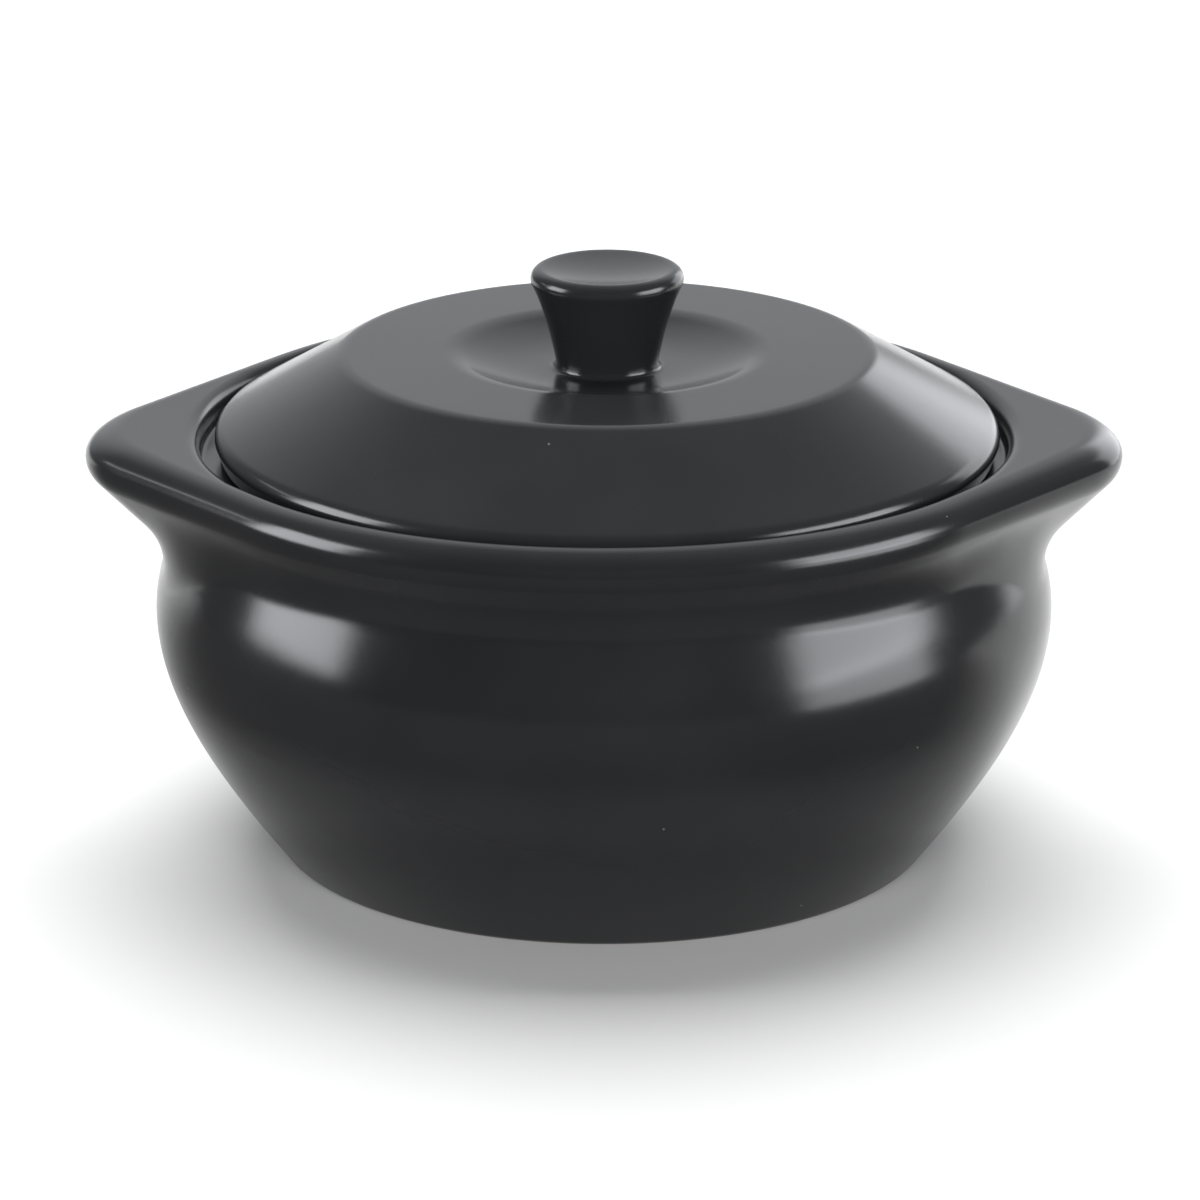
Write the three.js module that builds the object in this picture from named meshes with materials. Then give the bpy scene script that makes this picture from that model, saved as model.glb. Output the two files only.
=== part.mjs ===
// Mini casserole dish: a round glazed stoneware bowl whose rolled rim is drawn out into two lugs,
// and an inset lid with a sloping side, a level ring round a shallow recess, and a flared knob.
// Millimetres, +Z up. The origin is under the middle of the base, and the lugs point along X.
// An outline is a list of points (radius, height) that starts and ends on the upright axis.
import * as THREE from "three";

// Mouth of the dish and the lid's fit in it
const LID_RADIUS = 54.4; // widest part of the lid's edge
const LID_PLAY = 1.7; // all round, between the lid's edge and the gallery wall
const LID_DRIFT = 0.26; // share of that play by which the lid lies off centre, towards +X
const SEAT_CLEARANCE = 0.3; // between the lid's seat and the ledge
const GALLERY_DEPTH = 4.6; // from the rim's crest down to the ledge
const LEDGE_WIDTH = 5.3; // from the gallery wall in to the throat

// Dish
const BELLY_HEIGHT = 34.3; // widest part of the bowl, above the table
const SHOULDER_RISE = 15.2; // from the widest part up to the neck
const BELLY_SWELL = 4.3; // widest part beyond the neck
const BASE_TUCK = 17.1; // widest part beyond the base
const WALL_LEAN = 38; // degrees from upright, where the wall leaves the base
const NECK_WALL = 7.4; // between the throat and the neck
const WALL = 4.2; // at the widest part
const FLOOR = 5.0;
const FLOOR_FILLET = 9.0; // along the floor, where it turns up into the wall
const BASE_EDGE = 0.7; // rounding of the base's corner
const FOOT_WIDTH = 7.0; // ring that the dish stands on
const FOOT_RECESS = 1.2; // hollow inside that ring

// Rolled rim and lugs
const RIM_WALL = 4.9; // from the gallery wall out to the rim's outer face
const RIM_DEPTH = 7.4; // from the crest to the underside of the roll
const ROLL_REACH = 3.6; // how far in the roll's rounding begins
const LUG_CROWN = 2.0; // how much further in it begins on top of a lug
const RIM_EDGE = 2.0; // rounding of the rim's inner edge
const RIM_LEVEL = 0.1; // least level width left on the crest
const NECK_UNDERCUT = 3.3; // neck below the underside of the roll
const NECK_FILLET = 3.6; // along both sides of the corner under the roll
const LUG_FILLET = 3.5; // how much longer that is between the rim and the tip of a lug
const FILLET_SHARE = 0.85; // most of a lug's underside that the fillet may take
const THROAT_EDGE = 1.0; // rounding of the ledge's inner edge
const LUG_OVERHANG = 11.0; // tip of a lug beyond the round rim
const LUG_TIP_RADIUS = 19.0; // seen from above
const LUG_DROOP = 0.85; // tip of a lug below the rim's crest
const LUG_ROOT = 0.43; // share of the shoulder curve that a lug's underside covers

// Lid, with heights above its seat
const LID_WALL = 4.5;
const SEAT_WIDTH = 3.2;
const SEAT_TAPER = 1.0; // seat's outer edge inside the widest part
const BRIM_HEIGHT = 2.7; // widest part
const BRIM_ROUND = 2.5;
const SLOPE_WIDTH = 17.7; // sloping side, from the widest part in to the ridge that ends it
const RIDGE_HEIGHT = 14.5;
const RIDGE_ROUND = 1.0; // along both sides of the ridge
const RING_WIDTH = 15.3; // from the ridge in to the edge of the recess
const RING_RISE = 0.1; // inner edge of the ring above the ridge
const RECESS_DEPTH = 2.4; // floor of the recess below that edge
const RECESS_ROUND = 1.6; // along both sides of the recess's edge
const KNOB_HEIGHT = 14.2; // above the floor of the recess
const KNOB_BASE_RADIUS = 7.1;
const KNOB_FILLET = 1.0;
const KNOB_TOP_RADIUS = 10.6;
const KNOB_LIP = 1.5; // rounding of the knob's upper edge
const KNOB_LIP_TURN = 26; // degrees that the rounding goes on under the knob's edge
const KNOB_DISH = 1.0; // hollow in the top of the knob

// How the curved stretches swell: a handle's length as a share of the curve's own rise or swell
const BASE_HANDLE = 0.43;
const BELLY_HANDLE = 0.28;
const SHOULDER_HANDLE = 0.362;
const NECK_HANDLE_RISE = 0.329;
const NECK_HANDLE_SWELL = 0.419;
const KNOB_WAIST = 0.62; // share of the knob's side that stays near its base radius

// Straight steps that stand for each rounded stretch, and steps round the axis
const WALL_STEPS = 8;
const SHOULDER_STEPS = 5;
const ROLL_STEPS = 5;
const FILLET_STEPS = 5;
const ROUND_STEPS = 3;
const LID_STEPS = 5;
const LID_TURN_STEPS = 56;
const TIP_TURNS = 4;
const LUG_EDGE_TURNS = 3;
const RIM_TURNS = 8;

// Sizes that follow from those above
const galleryRadius = LID_RADIUS + LID_PLAY;
const throatRadius = galleryRadius - LEDGE_WIDTH;
const neckRadius = throatRadius + NECK_WALL;
const rimRadius = galleryRadius + RIM_WALL;
const lugReach = rimRadius + LUG_OVERHANG;
const bellyRadius = neckRadius + BELLY_SWELL;
const baseRadius = bellyRadius - BASE_TUCK;
const neckHeight = BELLY_HEIGHT + SHOULDER_RISE;
const crestHeight = neckHeight + NECK_UNDERCUT + RIM_DEPTH;
const ledgeHeight = crestHeight - GALLERY_DEPTH;
const seatHeight = ledgeHeight + SEAT_CLEARANCE;
const ridgeRadius = LID_RADIUS - SLOPE_WIDTH;
const ringRadius = ridgeRadius - RING_WIDTH;
const ringHeight = RIDGE_HEIGHT + RING_RISE;
const recessHeight = ringHeight - RECESS_DEPTH;
const floorEdge = KNOB_BASE_RADIUS + KNOB_FILLET;

const glaze = new THREE.MeshStandardMaterial({ color: 0x26262a, roughness: 0.34, metalness: 0 });

const point = (radius, height) => new THREE.Vector2(radius, height);

// Part of an upright ellipse, between two angles in degrees counted from straight outwards.
function roundedStretch(centre, reach, rise, fromAngle, toAngle, steps) {
  const from = THREE.MathUtils.degToRad(fromAngle);
  const to = THREE.MathUtils.degToRad(toAngle);
  const curve = new THREE.EllipseCurve(centre.x, centre.y, reach, rise, from, to, to < from);
  return curve.getPoints(steps);
}

// Rounds a corner by a curve that leaves one side and joins the other.
function roundedCorner(before, corner, after, steps = ROUND_STEPS) {
  return new THREE.QuadraticBezierCurve(before, corner, after).getPoints(steps);
}

// Point that lies a distance from start on the way to goal.
function toward(start, goal, distance) {
  return start.clone().addScaledVector(goal.clone().sub(start).normalize(), distance);
}

// Wall from a level near the base up to the widest part, leaning out at WALL_LEAN where it starts.
function lowerWall(startRadius, startHeight, widestRadius) {
  const rise = BELLY_HEIGHT - startHeight;
  const leanOut = Math.tan(THREE.MathUtils.degToRad(WALL_LEAN));
  return new THREE.CubicBezierCurve(
    point(startRadius, startHeight),
    point(startRadius + leanOut * BASE_HANDLE * rise, startHeight + BASE_HANDLE * rise),
    point(widestRadius, BELLY_HEIGHT - BELLY_HANDLE * rise),
    point(widestRadius, BELLY_HEIGHT),
  );
}

// Wall from the widest part up and in to the neck or the throat.
function upperWall(widestRadius, endRadius) {
  return new THREE.CubicBezierCurve(
    point(widestRadius, BELLY_HEIGHT),
    point(widestRadius, BELLY_HEIGHT + SHOULDER_HANDLE * SHOULDER_RISE),
    point(
      endRadius + NECK_HANDLE_SWELL * (widestRadius - endRadius),
      neckHeight - NECK_HANDLE_RISE * SHOULDER_RISE,
    ),
    point(endRadius, neckHeight),
  );
}

// Seen from above, a lug's straight edges touch the round rim and the lug's round tip.
const tipCentre = lugReach - LUG_TIP_RADIUS;
const rimTouch = Math.acos((rimRadius - LUG_TIP_RADIUS) / tipCentre);
const tipTouch = Math.atan2(
  LUG_TIP_RADIUS * Math.sin(rimTouch),
  tipCentre + LUG_TIP_RADIUS * Math.cos(rimTouch),
);

// Radius of the rim's outer face at an angle from the middle of the nearest lug.
function rimReach(angle) {
  if (angle >= rimTouch) return rimRadius;
  if (angle >= tipTouch) return rimRadius / Math.cos(rimTouch - angle);
  const across = tipCentre * Math.sin(angle);
  return tipCentre * Math.cos(angle) + Math.sqrt(LUG_TIP_RADIUS ** 2 - across ** 2);
}

// Outline of the dish in the upright plane at an angle from the middle of the nearest lug.
function dishOutline(angle) {
  const reach = rimReach(angle);
  const lugShare = (reach - rimRadius) / LUG_OVERHANG;
  const crest = crestHeight - LUG_DROOP * Math.cos(angle) ** 2;

  // Base and outer wall, up to the corner under the roll
  const footInner = baseRadius - BASE_EDGE - FOOT_WIDTH;
  const wall = lowerWall(baseRadius, 0, bellyRadius);
  const wallStart = wall.getPoint(BASE_EDGE / wall.getLength());
  const base = [
    point(0, FOOT_RECESS),
    point(footInner - FOOT_RECESS, FOOT_RECESS),
    point(footInner, 0),
    ...roundedCorner(point(baseRadius - BASE_EDGE, 0), point(baseRadius, 0), wallStart),
    ...wall.getPoints(WALL_STEPS).slice(1),
  ];
  const shoulder = upperWall(bellyRadius, neckRadius);
  const rootShare = 1 - LUG_ROOT * lugShare;
  const filletReach = NECK_FILLET + LUG_FILLET * 4 * lugShare * (1 - lugShare);
  const filletShare = rootShare - filletReach / shoulder.getLength();
  const shoulderPoints = [];
  for (let step = 1; step < SHOULDER_STEPS; step++) {
    shoulderPoints.push(shoulder.getPoint((filletShare * step) / SHOULDER_STEPS));
  }

  // Roll of the rim: two quarter ellipses that meet upright at its outer face, the upper one flatter on
  // a lug. The lug's underside touches the lower one on its way out from the corner.
  const rise = RIM_DEPTH / 2;
  const topReach = ROLL_REACH + LUG_CROWN * lugShare;
  const roll = point(reach - ROLL_REACH, crest - rise);
  const rollTop = point(reach - topReach, crest - rise);
  const corner = shoulder.getPoint(rootShare);
  const fromRoll = point(((corner.x - roll.x) * rise) / ROLL_REACH, corner.y - roll.y);
  const touch = fromRoll.angle() - 2 * Math.PI + Math.acos(rise / fromRoll.length());
  const touchDegrees = THREE.MathUtils.radToDeg(touch);
  const rollPoints = [
    ...roundedStretch(roll, ROLL_REACH, rise, touchDegrees, 0, ROLL_STEPS),
    ...roundedStretch(rollTop, topReach, rise, 0, 90, ROLL_STEPS).slice(1),
  ];
  const filletEnd = Math.min(filletReach, corner.distanceTo(rollPoints[0]) * FILLET_SHARE);
  const neck = roundedCorner(
    shoulder.getPoint(filletShare),
    corner,
    toward(corner, rollPoints[0], filletEnd),
    FILLET_STEPS,
  );

  // Gallery that the lid drops into
  const edge = Math.min(RIM_EDGE, rollTop.x - galleryRadius - RIM_LEVEL);
  const gallery = [
    ...roundedStretch(point(galleryRadius + edge, crest - edge), edge, edge, 90, 180, ROUND_STEPS),
    point(galleryRadius, ledgeHeight),
    ...roundedCorner(
      point(throatRadius + THROAT_EDGE, ledgeHeight),
      point(throatRadius, ledgeHeight),
      point(throatRadius, ledgeHeight - THROAT_EDGE),
    ),
  ];

  // Inner wall, down to the level floor
  const leanOut = Math.tan(THREE.MathUtils.degToRad(WALL_LEAN));
  const floorRadius = baseRadius + leanOut * FLOOR - WALL * Math.hypot(1, leanOut);
  const innerWall = lowerWall(floorRadius, FLOOR, bellyRadius - WALL);
  const innerStart = FLOOR_FILLET / innerWall.getLength();
  const innerPoints = [];
  for (let step = WALL_STEPS - 1; step > 0; step--) {
    innerPoints.push(innerWall.getPoint(innerStart + ((1 - innerStart) * step) / WALL_STEPS));
  }
  const inside = [
    ...upperWall(bellyRadius - WALL, throatRadius).getPoints(SHOULDER_STEPS).reverse(),
    ...innerPoints,
    ...roundedCorner(
      innerWall.getPoint(innerStart),
      point(floorRadius, FLOOR),
      point(floorRadius - FLOOR_FILLET, FLOOR),
    ),
    point(0, FLOOR),
  ];
  return [base, shoulderPoints, neck, rollPoints, gallery, inside].flat();
}

// Angles round the dish, closer together on the lugs, for one quarter and then for all four.
function dishAngles() {
  const quarter = [];
  const addSteps = (from, to, steps) => {
    for (let step = 0; step < steps; step++) quarter.push(from + ((to - from) * step) / steps);
  };
  addSteps(0, tipTouch, TIP_TURNS);
  addSteps(tipTouch, rimTouch, LUG_EDGE_TURNS);
  addSteps(rimTouch, Math.PI / 2, RIM_TURNS);
  const half = [...quarter, Math.PI / 2, ...quarter.slice(1).reverse().map((angle) => Math.PI - angle)];
  return [...half, ...half.map((angle) => angle + Math.PI)];
}

// Closed surface through one outline for each angle. Its first and last points lie on the axis.
function surfaceThroughOutlines(outlineAt, angles) {
  const outlines = angles.map((angle) => outlineAt(Math.acos(Math.min(1, Math.abs(Math.cos(angle))))));
  const rows = outlines[0].length - 2;
  const columns = angles.length;
  const positions = [];
  const faces = [];
  for (let row = 1; row <= rows; row++) {
    angles.forEach((angle, column) => {
      const { x: radius, y: height } = outlines[column][row];
      positions.push(radius * Math.cos(angle), radius * Math.sin(angle), height);
    });
  }
  const bottom = rows * columns;
  const top = bottom + 1;
  positions.push(0, 0, outlines[0][0].y, 0, 0, outlines[0].at(-1).y);
  for (let column = 0; column < columns; column++) {
    const next = (column + 1) % columns;
    faces.push(bottom, next, column);
    for (let row = 0; row < rows - 1; row++) {
      const here = row * columns;
      const above = here + columns;
      faces.push(here + column, here + next, above + next, here + column, above + next, above + column);
    }
    const last = (rows - 1) * columns;
    faces.push(last + column, last + next, top);
  }
  const geometry = new THREE.BufferGeometry();
  geometry.setAttribute("position", new THREE.Float32BufferAttribute(positions, 3));
  geometry.setIndex(faces);
  geometry.computeVertexNormals();
  return geometry;
}

// Upper side of the lid, from its widest edge in to the middle of the knob.
function lidTop() {
  // Rounded brim, and the sloping side that leaves it and ends at the ridge
  const brim = point(LID_RADIUS - BRIM_ROUND, BRIM_HEIGHT);
  const ridge = point(ridgeRadius, RIDGE_HEIGHT);
  const toRidge = ridge.clone().sub(brim);
  const slopeStart = toRidge.angle() - Math.acos(BRIM_ROUND / toRidge.length());
  const slopeDegrees = THREE.MathUtils.radToDeg(slopeStart);
  const brimPoints = roundedStretch(brim, BRIM_ROUND, BRIM_ROUND, 0, slopeDegrees, LID_STEPS);

  // Ridge, level ring, and the recess: a shallow bowl that comes level at the knob's fillet
  const ringEdge = point(ringRadius, ringHeight);
  const bowl = point((ringRadius + floorEdge) / 2, recessHeight);
  const ridgePoints = roundedCorner(
    toward(ridge, brimPoints.at(-1), RIDGE_ROUND),
    ridge,
    toward(ridge, ringEdge, RIDGE_ROUND),
  );
  const bowlStart = toward(ringEdge, bowl, RECESS_ROUND);
  const recess = [
    ...roundedCorner(toward(ringEdge, ridge, RECESS_ROUND), ringEdge, bowlStart),
    ...roundedCorner(bowlStart, bowl, point(floorEdge, recessHeight), LID_STEPS).slice(1, -1),
  ];

  // Knob: fillet, flared side, rounded lip and dished top
  const knobTop = recessHeight + KNOB_HEIGHT;
  const sideStart = point(KNOB_BASE_RADIUS, recessHeight + KNOB_FILLET);
  const lip = point(KNOB_TOP_RADIUS - KNOB_LIP, knobTop - KNOB_LIP);
  const lipPoints = roundedStretch(lip, KNOB_LIP, KNOB_LIP, -KNOB_LIP_TURN, 90, ROUND_STEPS);
  const sideEnd = lipPoints[0];
  const waist = point(
    THREE.MathUtils.lerp(KNOB_BASE_RADIUS, sideEnd.x, 1 - KNOB_WAIST),
    THREE.MathUtils.lerp(sideStart.y, sideEnd.y, KNOB_WAIST),
  );
  const knob = [
    ...roundedCorner(
      point(floorEdge, recessHeight),
      point(KNOB_BASE_RADIUS, recessHeight),
      sideStart,
    ),
    ...new THREE.QuadraticBezierCurve(sideStart, waist, sideEnd).getPoints(LID_STEPS).slice(1, -1),
    ...lipPoints,
    ...roundedCorner(
      point(lip.x, knobTop),
      point(lip.x / 2, knobTop - KNOB_DISH),
      point(0, knobTop - KNOB_DISH),
    ).slice(1),
  ];
  return [brimPoints, ridgePoints, recess, knob].flat();
}

// Underside of the lid, from the middle out to its seat: the upper side's main lines, one wall lower.
function lidUnderside() {
  const slope = (RIDGE_HEIGHT - BRIM_HEIGHT) / SLOPE_WIDTH;
  const seatInner = LID_RADIUS - SEAT_TAPER - SEAT_WIDTH;
  const hollowTop = RIDGE_HEIGHT + LID_WALL * (slope - Math.hypot(1, slope));
  const hollowEdge = ridgeRadius - LID_WALL;
  const middle = recessHeight - LID_WALL;
  return [
    point(0, middle),
    point(floorEdge, middle),
    point((floorEdge + hollowEdge) / 2, (middle + hollowTop) / 2),
    point(hollowEdge, hollowTop),
    point(seatInner - LID_WALL / 2, BRIM_HEIGHT),
    point(seatInner, 0),
    point(LID_RADIUS - SEAT_TAPER, 0),
  ];
}

function lidGeometry() {
  const geometry = new THREE.LatheGeometry([...lidUnderside(), ...lidTop()], LID_TURN_STEPS);
  return geometry.rotateX(Math.PI / 2);
}

function addPiece(parent, name, geometry) {
  const mesh = new THREE.Mesh(geometry, glaze);
  mesh.name = name;
  parent.add(mesh);
  return mesh;
}

const casserole = new THREE.Group();
addPiece(casserole, "dish", surfaceThroughOutlines(dishOutline, dishAngles()));
const lid = addPiece(casserole, "lid", lidGeometry());
lid.position.set(LID_DRIFT * LID_PLAY, 0, seatHeight);

export default casserole;
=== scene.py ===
"""Mini casserole dish in satin black stoneware with an inset lid, on a plain studio floor."""

import math
from types import SimpleNamespace

import bpy
import numpy as np
from bpy.props import FloatProperty, FloatVectorProperty, PointerProperty
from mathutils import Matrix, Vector


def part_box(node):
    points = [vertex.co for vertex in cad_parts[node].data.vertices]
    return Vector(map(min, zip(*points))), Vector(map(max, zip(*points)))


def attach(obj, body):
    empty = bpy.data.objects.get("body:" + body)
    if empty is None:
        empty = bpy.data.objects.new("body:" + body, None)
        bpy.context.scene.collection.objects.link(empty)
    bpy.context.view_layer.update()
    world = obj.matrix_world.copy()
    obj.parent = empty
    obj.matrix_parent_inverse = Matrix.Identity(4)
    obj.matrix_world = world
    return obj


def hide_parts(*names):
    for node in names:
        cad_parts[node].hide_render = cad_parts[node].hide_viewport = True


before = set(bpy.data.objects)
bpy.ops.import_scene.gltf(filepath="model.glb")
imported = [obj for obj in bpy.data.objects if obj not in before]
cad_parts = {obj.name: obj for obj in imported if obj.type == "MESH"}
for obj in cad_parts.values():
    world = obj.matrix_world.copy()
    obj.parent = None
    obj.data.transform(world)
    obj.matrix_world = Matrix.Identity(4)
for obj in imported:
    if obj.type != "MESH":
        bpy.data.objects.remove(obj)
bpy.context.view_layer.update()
DISH_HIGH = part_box("dish")[1]
LID_LOW, LID_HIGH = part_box("lid")

bl_info = {
    "name": "Mini Casserole Dish",
    "version": (1, 0, 0),
    "blender": (4, 5, 0),
    "location": "3D View > Sidebar > Casserole",
    "description": "Builds a small black stoneware casserole and its lid on a studio floor",
    "category": "Add Mesh",
}

MM = 0.001
PHOTO_PIXELS = 1200
SENSOR_WIDTH = 36.0

# Faint cool tint of the softboxes and the room
STUDIO_TINT = (0.977, 0.993, 1.03)

# Lamps that show only as highlights on the glaze: azimuth 0 is behind the dish, 90 on its right
SOFTBOXES = (
    # name, azimuth, distance, height of the middle, width, height, brightness
    ("left_softbox", -97.0, 0.7, 0.30, 0.48, 0.48, 7.6),
    ("left_rear_strip", -70.0, 0.7, 0.27, 0.24, 0.05, 3.0),
    ("right_softbox", 110.0, 0.7, 0.29, 0.68, 0.34, 6.6),
    ("right_softbox_foot", 113.0, 0.7, 0.08, 0.58, 0.26, 4.6),
    ("right_rear_card", 40.0, 0.6, 0.18, 0.54, 0.42, 1.9),
)

# Share of a softbox's width or height over which each edge fades
SOFTBOX_EDGE = 0.2

# Soft lamps that light the floor, the shadows and the colours, and aren't mirrored
FILL_LAMPS = (
    # name, place, width, height, brightness
    ("top_light", (0.0, 0.8, 1.7), 2.0, 2.0, 2.1),
    ("front_fill", (0.0, -2.2, 0.8), 2.4, 1.2, 3.0),
)

# Pale spot behind the dish: its direction, and where the room changes from opposite (0) to it (1)
SPOT_MIDDLE = (0.032, 0.927, 0.375)
ROOM_FRONT_END = 0.3
ROOM_ABOVE = 0.6
SPOT_START = 0.86
SPOT_EDGE = 0.97

# Brightness where the spot starts, as a multiple of the room's brightness above
SPOT_HALO = 1.8

# Painted shade: a dark card on the floor that darkens the dish's mirror image and its light from the
# floor;
# # where it thickens outwards, and two ways along which it thins out
CARD_RISE = 0.0005
SHADE_CARD_COLOUR = (0.12, 0.12, 0.12, 1.0)
CARD_INNER = 0.045
CARD_OUTER = 0.10
CARD_NEAR_DENSITY = 0.3
CARD_WAYS = (
    # direction, where it is clear, where it is dense
    ((0.55, 0.835, 0.0), 0.07, -0.06),
    ((-0.2, 0.98, 0.0), 0.015, -0.06),
)

# Columns round each piece and the floor
DISH_COLUMNS = 288
LID_COLUMNS = 256
FLOOR_COLUMNS = 96

# Straight steps that a curve's length is summed over
LENGTH_STEPS = 200

# Most of a lug's straight underside that the fillet beside it may take
FILLET_SHARE = 0.85

# Detail of the glaze's noise
CLOUD_DETAIL = 3.0
FINE_DETAIL = 1.0

# Noise that runs from plain glaze to cloud, and cloud plus grain that runs from glossy to dull
CLOUD_RANGE = (0.35, 0.7)
DULL_RANGE = (0.6, 1.4)

# Part of a speck's radius that has its full colour
SPECK_CORE = 0.6

# Colour sockets of a Mix node
MIX_FIRST = 6
MIX_SECOND = 7
MIX_RESULT = 2


# Properties


def framed(name, description, metres):
    """Property for a length in metres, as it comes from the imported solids."""
    return FloatProperty(
        name=name, description=description, default=metres, precision=5, unit="LENGTH"
    )


def length(name, description, millimetres):
    """Property for a length, written in millimetres and kept in metres."""
    return framed(name, description, millimetres * MM)


def share(name, description, default):
    """Property for a share between nothing and the whole."""
    return FloatProperty(
        name=name, description=description, default=default, min=0.0, max=1.0, subtype="FACTOR"
    )


def turn(name, description, degrees):
    """Property for an angle, written in degrees and kept in radians."""
    return FloatProperty(
        name=name, description=description, default=math.radians(degrees), subtype="ANGLE"
    )


def amount(name, description, default):
    """Property for a plain number, such as the strength of a light."""
    return FloatProperty(name=name, description=description, default=default, min=0.0)


def tint(name, description, default):
    """Property for a colour in linear red, green and blue."""
    return FloatVectorProperty(
        name=name, description=description, default=default, size=3, min=0.0, max=1.0, subtype="COLOR"
    )


class CasseroleDishSizes(bpy.types.PropertyGroup):
    """Sizes of the dish, with heights above the table."""

    lug_reach: framed("Lug reach", "From the middle of the dish to the tip of a lug", DISH_HIGH.x)
    belly_radius: framed("Belly radius", "Widest part of the bowl", DISH_HIGH.y)
    crest_height: framed("Crest height", "Top of the rim between the lugs", DISH_HIGH.z)
    belly_height: length("Belly height", "Widest part of the bowl above the table", 34.3)
    shoulder_rise: length("Shoulder rise", "From the widest part up to the neck", 15.2)
    belly_swell: length("Belly swell", "Widest part beyond the neck", 4.3)
    base_tuck: length("Base tuck", "Widest part beyond the base", 17.1)
    wall_lean: turn("Wall lean", "From upright, where the wall leaves the base", 38.0)
    wall: length("Wall", "Thickness at the widest part", 4.2)
    floor: length("Floor", "Height of the floor inside", 5.0)
    floor_fillet: length("Floor fillet", "Along the floor, where it turns up into the wall", 9.0)
    base_edge: length("Base edge", "Rounding of the base's corner", 0.7)
    foot_width: length("Foot width", "Ring that the dish stands on", 7.0)
    foot_recess: length("Foot recess", "Hollow inside that ring", 1.2)
    lid_play: length("Lid play", "All round, between the lid's edge and the gallery wall", 1.7)
    gallery_depth: length("Gallery depth", "From the rim's crest down to the ledge", 4.6)
    gallery_fillet: length("Gallery fillet", "Where the gallery wall meets the ledge", 0.9)
    ledge_width: length("Ledge width", "From the gallery wall in to the throat", 5.3)
    throat_edge: length("Throat edge", "Rounding of the ledge's inner edge", 1.0)
    rim_wall: length("Rim wall", "From the gallery wall out to the rim's outer face", 4.9)
    rim_depth: length("Rim depth", "From the crest to the underside of the roll", 7.4)
    roll_reach: length("Roll reach", "How far in the roll's rounding begins", 3.6)
    lug_crown: length("Lug crown", "How much further in it begins on top of a lug", 2.0)
    rim_edge: length("Rim edge", "Rounding of the rim's inner edge", 2.0)
    rim_level: length("Rim level", "Least level width left on the crest", 0.1)
    neck_fillet: length("Neck fillet", "Along both sides of the corner under the roll", 3.6)
    lug_fillet: length("Lug fillet", "How much longer that is halfway out along a lug", 3.5)
    lug_tip_radius: length("Lug tip radius", "Round end of a lug, seen from above", 19.0)
    lug_droop: length("Lug droop", "Tip of a lug below the rim's crest", 0.85)
    lug_root: share("Lug root", "Share of the shoulder curve that a lug's underside covers", 0.43)
    base_handle: share("Base handle", "Share of the lower wall's rise that keeps its lean", 0.43)
    belly_handle: share("Belly handle", "Share of the lower wall's rise that stays upright", 0.28)
    shoulder_handle: share("Shoulder handle", "Share of the shoulder's rise that stays upright", 0.362)
    neck_handle_rise: share("Neck handle rise", "Share of the shoulder's rise near the neck", 0.329)
    neck_handle_swell: share("Neck handle swell", "Share of the swell left at that height", 0.419)


class CasseroleLidSizes(bpy.types.PropertyGroup):
    """Sizes of the lid, with heights above its seat."""

    radius: framed("Radius", "Widest part of the lid's edge", (LID_HIGH.x - LID_LOW.x) / 2)
    offset: framed("Offset", "How far the lid lies off centre", (LID_HIGH.x + LID_LOW.x) / 2)
    seat_height: framed("Seat height", "Seat of the lid above the table", LID_LOW.z)
    lid_height: framed("Lid height", "From the seat to the rim of the knob", LID_HIGH.z - LID_LOW.z)
    wall: length("Wall", "Thickness of the lid", 4.5)
    seat_width: length("Seat width", "Ring that the lid rests on", 3.2)
    seat_taper: length("Seat taper", "Seat's outer edge inside the widest part", 1.0)
    seat_edge: length("Seat edge", "Rounding of both edges of the seat", 0.6)
    brim_height: length("Brim height", "Widest part above the seat", 2.7)
    brim_round: length("Brim round", "Rounding of the brim", 2.5)
    slope_width: length("Slope width", "From the widest part in to the ridge", 17.7)
    ridge_height: length("Ridge height", "Ridge that ends the sloping side", 14.5)
    ridge_round: length("Ridge round", "Along both sides of the ridge", 1.0)
    ring_width: length("Ring width", "From the ridge in to the edge of the recess", 15.3)
    ring_rise: length("Ring rise", "Inner edge of the ring above the ridge", 0.1)
    recess_depth: length("Recess depth", "Floor of the recess below that edge", 2.4)
    recess_round: length("Recess round", "Along both sides of the recess's edge", 1.6)
    knob_base_radius: length("Knob base radius", "Foot of the knob", 7.1)
    knob_fillet: length("Knob fillet", "Where the knob meets the recess", 1.0)
    knob_top_radius: length("Knob top radius", "Widest part of the knob", 10.6)
    knob_lip: length("Knob lip", "Rounding of the knob's upper edge", 1.5)
    knob_lip_turn: turn("Knob lip turn", "How far under the knob's edge that rounding goes", 26.0)
    knob_dish: length("Knob dish", "Hollow in the top of the knob", 1.0)
    knob_waist: share("Knob waist", "Share of the knob's side that stays near its base", 0.62)


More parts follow.
